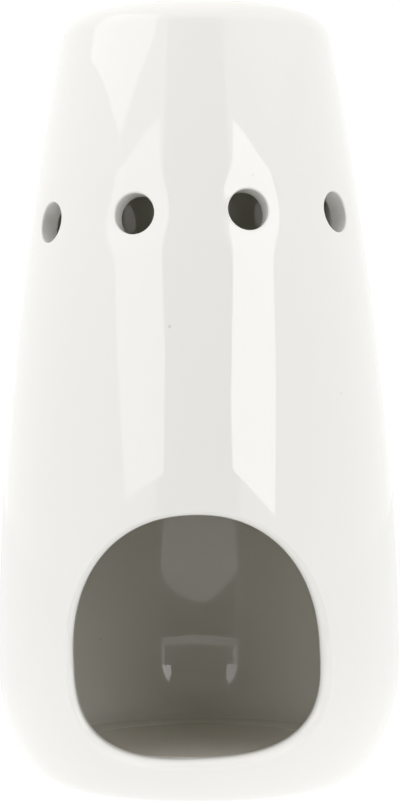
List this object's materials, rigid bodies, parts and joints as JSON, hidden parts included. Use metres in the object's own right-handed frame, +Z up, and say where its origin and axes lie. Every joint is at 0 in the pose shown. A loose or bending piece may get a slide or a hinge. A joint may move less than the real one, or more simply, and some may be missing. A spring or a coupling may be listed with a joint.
{
  "type": "wax melt burner",
  "caption": "Tall tapered glazed ceramic burner with a ring of round vents, a rounded tealight opening and a deep lift-out wax dish.",
  "frame": {"origin": "centre of the foot, on the surface that the burner stands on", "axes": "+Z up along the burner's own axis, -Y out of the tealight opening, +X to the right as seen from the front"},
  "size_m": [0.09, 0.0888, 0.1705],
  "materials": {
    "white_glaze": "clear gloss glaze over white earthenware",
    "bisque": "unglazed white earthenware"
  },
  "bodies": {
    "burner": {"body_shell": "white_glaze", "base_disc": "bisque"},
    "dish": {"melt_dish": "white_glaze"}
  },
  "joints": [
    {"name": "dish_lift", "type": "slide", "parent": "burner", "child": "dish", "axis": [0, 0, 1], "range_m": [0, 0.07]}
  ]
}
